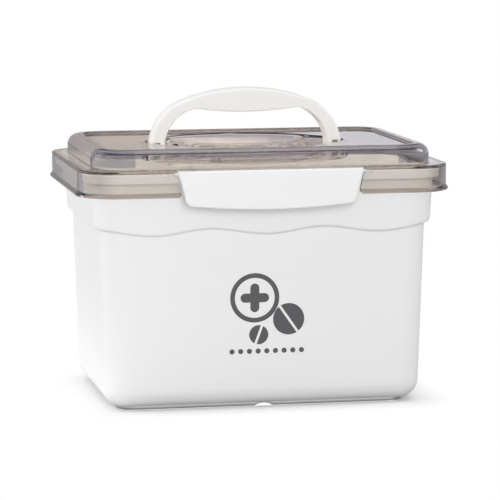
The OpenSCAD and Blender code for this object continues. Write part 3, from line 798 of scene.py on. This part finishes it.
# %% Nodes of a finish
class Finish:
    """The nodes of a material, or of the surround."""

    def __init__(self, owner):
        owner.use_nodes = True
        self.owner, self.tree = owner, owner.node_tree
        self.tree.nodes.clear()

    def node(self, kind, settings=None, sockets=None, output=0):
        """Adds a node. Its settings are set first, then its sockets from values or wires."""
        made = self.tree.nodes.new(kind)
        for name, value in (settings or {}).items():
            setattr(made, name, value)
        for key, value in (sockets or {}).items():
            if isinstance(value, Wire):
                self.tree.links.new(value.socket, made.inputs[key])
            else:
                made.inputs[key].default_value = value
        return Wire(self, made.outputs[output]) if made.outputs else made

    def axes(self, vector):
        """The node that gives a vector's X, Y and Z."""
        return self.node("ShaderNodeSeparateXYZ", None, {0: vector})

    def length(self, vector):
        """How long a vector is."""
        return self.node("ShaderNodeVectorMath", {"operation": "LENGTH"}, {0: vector}).of("Value")

    def distance(self, x, y):
        """Distance that two values at right angles make together."""
        return self.length(self.node("ShaderNodeCombineXYZ", None, {0: x, 1: y}))

    def blend(self, share, first, second):
        """Colour part of the way from one to another."""
        sockets = {"Factor": share, "A": first, "B": second}
        return self.node("ShaderNodeMix", {"data_type": "RGBA"}, sockets, output=2)

    def choose(self, share, first, second):
        """Shader part of the way from one to another."""
        return self.node("ShaderNodeMixShader", None, {0: share, 1: first, 2: second})

    def surface(self, shader, volume=None):
        """Sends a shader, and perhaps a volume, to the material's output."""
        sockets = {"Surface": shader}
        if volume:
            sockets["Volume"] = volume
        self.node("ShaderNodeOutputMaterial", None, sockets)
        return self.owner


def material(name, colour):
    """An empty finish for a new material."""
    made = bpy.data.materials.new(name)
    made.diffuse_color = (*colour, 1)
    return Finish(made)


def paint(made, finished):
    """Gives an object one material."""
    made.data.materials.clear()
    made.data.materials.append(finished)


# %% [markdown]
# ## Opaque plastics
# Moulded plastic takes the surface of its mould: a very fine grain, and a sheen that varies a little
# over a hand's width. A picture could hold both, but noise has no seams and no end of detail. A fine
# noise feeds a faint bump, and a broad one shifts the roughness. The tub's lowest edge also gets
# painted shade, a grey that stands in for the shade under its foot ring.

# %% Opaque plastics
GRAIN_SCALE, GRAIN_DEPTH = 900, 0.0003
SHEEN_SCALE, SHEEN_SPREAD = 14.0, 0.06
# Painted shade: the tub's lowest edge is greyed where shade falls under its foot ring.
FOOT_SHADE_TOP, FOOT_SHADE_SOFT = 0.0022, 0.0012
PAINTED_FOOT_SHADE = (0.40, 0.39, 0.385)


def moulded(name, colour, roughness, grain=0.02, foot_shade=None):
    """Opaque moulded plastic, with painted shade on its lowest edge where a shade colour is given."""
    finish = material(name, colour)
    place = finish.node("ShaderNodeTexCoord").of("Object")
    shade = (*colour, 1)
    # painted shade along the lowest edge
    if foot_shade:
        height = finish.axes(place).of("Z")
        shade = finish.blend(height.before(FOOT_SHADE_TOP, FOOT_SHADE_SOFT), shade, (*foot_shade, 1))
    fine = finish.node("ShaderNodeTexNoise", None, {"Vector": place, "Scale": GRAIN_SCALE, "Detail": 2.0})
    broad = finish.node("ShaderNodeTexNoise", None, {"Vector": place, "Scale": SHEEN_SCALE, "Detail": 1.0})
    bump = finish.node("ShaderNodeBump", None, {
        "Height": fine, "Strength": grain, "Distance": GRAIN_DEPTH})
    sheen = broad * SHEEN_SPREAD + (roughness - SHEEN_SPREAD / 2)
    shader = finish.node("ShaderNodeBsdfPrincipled", None, {
        "Base Color": shade, "IOR": 1.5, "Roughness": sheen, "Normal": bump})
    print(name, "nodes:", len(finish.tree.nodes))
    return finish.surface(shader)


# the tub's lowest edge gets painted shade
tub_plastic = moulded("tub plastic", (0.85, 0.85, 0.847), 0.42, foot_shade=PAINTED_FOOT_SHADE)
latch_plastic = moulded("latch plastic", (0.87, 0.87, 0.875), 0.25, 0.005)
handle_plastic = moulded("handle plastic", (0.865, 0.855, 0.83), 0.22, 0.005)
pin_plastic = moulded("pin plastic", (0.82, 0.81, 0.78), 0.3)
tray_plastic = moulded("tray plastic", (0.90, 0.885, 0.85), 0.4)
divider_plastic = moulded("divider plastic", (0.88, 0.87, 0.84), 0.35)
seal_rubber = moulded("seal rubber", (0.85, 0.84, 0.81), 0.5)
print_ink = moulded("print ink", (0.095, 0.095, 0.1), 0.45)

# %% [markdown]
# ## Smoky clear plastic
# The lid is clear plastic with a grey-brown tint. Volume absorption alone deepens the tint with the
# thickness that light crosses, but it left the bead, the corners and the end walls paler than in the
# photograph, and the well darker. So the absorption is weak here, and the surface has a tint too,
# which changes from place to place with a mask for each form. These tints are painted light: painted
# shade on the low skirt, the bead and the end walls, painted light on the raised top's upright wall,
# and painted reflection in the well and on the raised top's rounded edge and corners. Shadow rays and
# bounced light pass straight through, because bent light would reach the tray only by rare paths,
# which a render shows as bright specks.

# %% The lid's masks
BEAD_TOP, LOW_TOP, LEDGE_TOP = 0.1598, 0.1668, 0.1770
END_WALL_X = 0.114
WELL_EDGE, WELL_SQUEEZE = 0.069, (0.9, 1, 0)
CORNER_X, CORNER_Y = 0.0955, 0.0610  # where the raised top's round corners begin
UPRIGHT_OUT, ROUNDED_OUT, CORNER_OUT = 0.0235, 0.0180, 0.0165
RAISED_FOOT, ROUNDED_FOOT = 0.1765, 0.1800


def painted_light_masks(finish):
    """Masks for the lid's painted shade, light and reflections, in the order in which their tints are laid
    over each other.
    """
    spot = finish.node("ShaderNodeTexCoord").of("Object")
    place = finish.axes(spot)
    height, aside = place.of("Z"), place.of("X").size()
    squeezed = finish.node("ShaderNodeVectorMath", {"operation": "MULTIPLY"}, {0: spot, 1: WELL_SQUEEZE})
    past_x = (aside - CORNER_X).larger(0)
    past_y = (place.of("Y").size() - CORNER_Y).larger(0)
    edge = finish.distance(past_x, past_y)
    raised_part = height.past(RAISED_FOOT, 0.001)
    in_corner = (past_x / 0.001).clamp() * (past_y / 0.003).clamp()
    return {
        "low": height.before(LOW_TOP, 0.004),
        "end wall": aside.past(END_WALL_X, 0.008) * height.before(LEDGE_TOP, 0.001),
        "upright": edge.past(UPRIGHT_OUT, 0.002) * raised_part,
        "rounded": edge.past(ROUNDED_OUT, 0.003) * height.past(ROUNDED_FOOT, 0.004),
        "corner": in_corner * edge.past(CORNER_OUT, 0.002) * raised_part,
        "well": finish.length(squeezed).before(WELL_EDGE, 0.001),
        "bead": height.before(BEAD_TOP, 0.0008),
    }


# %% Smoky clear plastic
SMOKY = (0.38, 0.34, 0.33)
SMOKY_TINT = (0.80, 0.76, 0.715, 1)
# Painted light in the surface colour: painted shade on the low skirt and the bead, over the shaded gap in
# front of the tub's band, and on the end walls; painted light on the raised top's upright wall, where the
# lit inside shows through; painted reflection in the well, and painted reflection with shade on the raised
# top's rounded edge and corners.
PAINTED_LIGHT_TINTS = {
    "low": (0.77, 0.705, 0.63, 1),
    "end wall": (0.65, 0.61, 0.58, 1),
    "upright": (0.87, 0.85, 0.83, 1),
    "rounded": (0.62, 0.61, 0.65, 1),
    "corner": (0.49, 0.48, 0.52, 1),
    "well": (0.96, 0.91, 0.88, 1),
    "bead": (0.51, 0.455, 0.40, 1),
}
ABSORBED, ABSORBED_DENSITY = (0.60, 0.54, 0.48, 1), 60.0


def smoky(name):
    """Polished clear plastic, tinted inside, with painted shade, light and reflections on its surface place
    by place.
    """
    finish = material(name, SMOKY)
    shade = SMOKY_TINT
    # painted shade, light and reflections laid over the tint, form by form
    for form, mask in painted_light_masks(finish).items():
        shade = finish.blend(mask, shade, PAINTED_LIGHT_TINTS[form])
    clear = finish.node("ShaderNodeBsdfPrincipled", None, {
        "Base Color": shade, "Roughness": 0.03, "IOR": 1.49, "Transmission Weight": 1.0})
    open_path = finish.node("ShaderNodeBsdfTransparent", None, {"Color": (1, 1, 1, 1)})
    path = finish.node("ShaderNodeLightPath")
    straight = (path.of("Is Shadow Ray") + path.of("Is Diffuse Ray")).clamp()
    tint = finish.node("ShaderNodeVolumeAbsorption", None, {"Color": ABSORBED, "Density": ABSORBED_DENSITY})
    print(name, "nodes:", len(finish.tree.nodes))
    return finish.surface(finish.choose(straight, clear, open_path), tint)


lid_plastic = smoky("smoky plastic")

# %% [markdown]
# ## Painting the pieces
# The new skins get their finishes. The pieces inside and the pins keep the measured model's own
# shapes, which are right as they are, and only their material changes.

# %% Paint
for made, finished in ((tub, tub_plastic), (lid, lid_plastic), (front_latch, latch_plastic),
                       (rear_latch, latch_plastic), (handle, handle_plastic), (printed, print_ink)):
    paint(made, finished)
kept_nodes = {"seal_ring": seal_rubber, "tray": tray_plastic}
for name in ("left_handle_pin", "right_handle_pin"):
    kept_nodes[name] = pin_plastic
for name in ("front_left_divider", "front_right_divider", "back_left_divider", "back_right_divider"):
    kept_nodes[name] = divider_plastic
for name, finished in kept_nodes.items():
    paint(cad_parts[name], finished)
print("pieces with the model's own shape:", len(kept_nodes))

# %% [markdown]
# ## The floor
# The photograph's ground is white right up to the box. Here a short soft shadow is kept, so that the
# box stands on something. A matt white floor alone comes out grey further away, so the camera sees it
# only near the box, and there it fades into plain white. For light that bounces up, the floor is
# greyer, or else the white sides of the box would be too bright from below. Only a strip to the left
# stays pale, as if a card lay there. What shows of the floor through the lid has a tone of its own.

# %% Floor
FLOOR_REACH = 6
SEEN_THROUGH = (1.0, 0.97, 0.96, 1)
SEEN_THROUGH_ASIDE = (0.52, 0.52, 0.59, 1)
SEEN_MIDDLE, SEEN_WIDTH = 0.27, 0.17
GROUND_X, GROUND_Y = 0.105, 0.070
SHADOW_NEAR, SHADOW_WIDTH = 0.004, 0.032
UNDER_X, UNDER_Y = 0.1, 0.0715
CARD_RIGHT, CARD_LEFT, CARD_SOFT = -0.10, -0.20, 0.03
BOUNCE_TONE, MORE_TONE = 0.52, 0.43

floor_mesh = bpy.data.meshes.new("floor")
corners = rectangle(-FLOOR_REACH, FLOOR_REACH, -FLOOR_REACH, FLOOR_REACH)
floor_mesh.from_pydata([(x, y, 0) for x, y in corners], [], [(0, 1, 2, 3)])
floor = in_scene("floor", floor_mesh)

finish = material("floor", (0.9, 0.9, 0.9))
place = finish.axes(finish.node("ShaderNodeNewGeometry").of("Position"))
path = finish.node("ShaderNodeLightPath")
seen = path.of("Is Camera Ray")
aside, back = place.of("X").size(), place.of("Y").size()
far = finish.distance((aside - GROUND_X).larger(0), (back - GROUND_Y).larger(0))
under_box = back.before(UNDER_Y, 0.001) * aside.before(UNDER_X, 0.004)
fade = far.past(SHADOW_NEAR, SHADOW_WIDTH).larger(under_box)
left_card = place.of("X").before(CARD_RIGHT, CARD_SOFT) * place.of("X").past(CARD_LEFT, CARD_SOFT)
tone = BOUNCE_TONE + seen.larger(left_card) * MORE_TONE
matt_colour = finish.node("ShaderNodeCombineColor", None, {0: tone, 1: tone, 2: tone})
matt = finish.node("ShaderNodeBsdfDiffuse", None, {"Color": matt_colour})
white = finish.node("ShaderNodeEmission", None, {"Color": (1, 1, 1, 1), "Strength": 1.0})
off_middle = ((place.of("X") - SEEN_MIDDLE).size() / SEEN_WIDTH).clamp()
backdrop = finish.blend(off_middle, SEEN_THROUGH, SEEN_THROUGH_ASIDE)
through = finish.node("ShaderNodeEmission", None, {"Color": backdrop, "Strength": 1.0})
ground = finish.choose(fade * seen, matt, white)
paint(floor, finish.surface(finish.choose(path.of("Is Transmission Ray"), ground, through)))
print("floor:", 2 * FLOOR_REACH, "m wide, nodes:", len(finish.tree.nodes))

# %% [markdown]
# ## The surround
# The surround is what polished plastic mirrors and what shows through clear plastic, so it is made
# like a plain room: a ceiling, grey walls, and a back wall that is paler on its right. A picture of a
# real room would put its furniture into every highlight. The camera itself sees plain white, and matt
# surfaces get one soft even light.

# %% Surround
CEILING = (0.38, 0.365, 0.43, 1)
CEILING_BEHIND = (0.68, 0.66, 0.69, 1)
BACK_WALL_LEFT = (0.62, 0.56, 0.51, 1)
BACK_WALL_RIGHT = (0.84, 0.83, 0.89, 1)
OTHER_WALLS = (0.42, 0.42, 0.46, 1)
EVEN_LIGHT, EVEN_STRENGTH = (0.98, 0.98, 1, 1), 0.54
BACK_WALL_SHARPNESS = 6.0
PALE_SLANT, PALE_SOFT = 0.165, 0.06
CEILING_FOOT, CEILING_SOFT = 0.12, 0.25

world = bpy.data.worlds.new("surround")
bpy.context.scene.world = world
room = Finish(world)
toward = room.axes(room.node("ShaderNodeTexCoord").of("Generated"))
behind = (toward.of("Y") * BACK_WALL_SHARPNESS).clamp()
to_right = ((toward.of("X") - toward.of("Y") * PALE_SLANT) / PALE_SOFT).clamp()
high = toward.of("Z").past(CEILING_FOOT, CEILING_SOFT)
back_wall = room.blend(to_right, BACK_WALL_LEFT, BACK_WALL_RIGHT)
walls = room.blend(behind, OTHER_WALLS, back_wall)
mirrored_room = room.blend(high, walls, CEILING)
room_behind = room.blend(high, SEEN_THROUGH_ASIDE, CEILING_BEHIND)


def background(colour, strength=1.0):
    """One look of the surround."""
    return room.node("ShaderNodeBackground", None, {"Color": colour, "Strength": strength})


path = room.node("ShaderNodeLightPath")
look = room.choose(path.of("Is Diffuse Ray"), background(mirrored_room),
                   background(EVEN_LIGHT, EVEN_STRENGTH))
look = room.choose(path.of("Is Transmission Ray"), look, background(room_behind))
look = room.choose(path.of("Is Camera Ray"), look, background((1, 1, 1, 1)))
room.node("ShaderNodeOutputWorld", None, {"Surface": look})
print("surround nodes:", len(room.tree.nodes))

# %% [markdown]
# ## The lamps
# Four large square lamps light the box softly, as lamps with diffusers do. A small lamp would give
# hard shadows, and a large one that showed in the polished lid would hide its tint. So the four are
# left out of reflections, and a smaller fifth, like a window, gives the highlights.

# %% Lamps
AIM = (0, 0, 0.1)
LAMP_SIZE, WINDOW_SIZE = 1.5, 0.7


def lamp(name, place, size, power, mirrored=False):
    """Square soft lamp that points at the box. Only a mirrored one shows in polished surfaces."""
    data = bpy.data.lights.new(name, "AREA")
    data.shape = "SQUARE"
    data.size = size
    data.energy = power
    made = in_scene(name, data)
    made.location = place
    made.visible_glossy = mirrored
    made.rotation_euler = (Vector(AIM) - Vector(place)).to_track_quat("-Z", "Y").to_euler()
    print(name, power, "W")


lamp("left lamp", (-2.3, 0, 0.6), LAMP_SIZE, 9)
lamp("back left lamp", (-1.9, 1.2, 0.9), LAMP_SIZE, 25)
lamp("front lamp", (0, -2.4, 0.8), LAMP_SIZE, 27)
lamp("top lamp", (0, 0, 2.2), LAMP_SIZE, 11)
lamp("window", (1.75, 0.25, 1.05), WINDOW_SIZE, 6, True)

# %% [markdown]
# ## The camera
# The camera's place, its directions and its lens were fitted together to the box's long edges in the
# photograph. Aiming it at a point would be simpler, but would lose the photograph's slight roll. So
# its three directions are given, and become the columns of its rotation.

# %% Camera
FOCAL_LENGTH, SENSOR_WIDTH = 205.2, 36
FARTHEST = 50
CAMERA_PLACE = Vector((-0.40935, -2.07223, 0.37669))
CAMERA_RIGHT = Vector((0.98065, -0.19578, -0.00136))
CAMERA_UP = Vector((0.02629, 0.12479, 0.99184))
CAMERA_AHEAD = Vector((0.19402, 0.97267, -0.12752))

view = bpy.data.cameras.new("camera")
view.lens = FOCAL_LENGTH
view.sensor_width = SENSOR_WIDTH
view.dof.use_dof = False
view.clip_end = FARTHEST
camera = in_scene("camera", view)
turn = Matrix((CAMERA_RIGHT, CAMERA_UP, -CAMERA_AHEAD)).transposed().to_4x4()
camera.matrix_world = Matrix.Translation(CAMERA_PLACE) @ turn
bpy.context.scene.camera = camera
bpy.context.scene.view_settings.view_transform = "Standard"
print("camera to the middle of the foot ring:", round(CAMERA_PLACE.length, 3), "m")
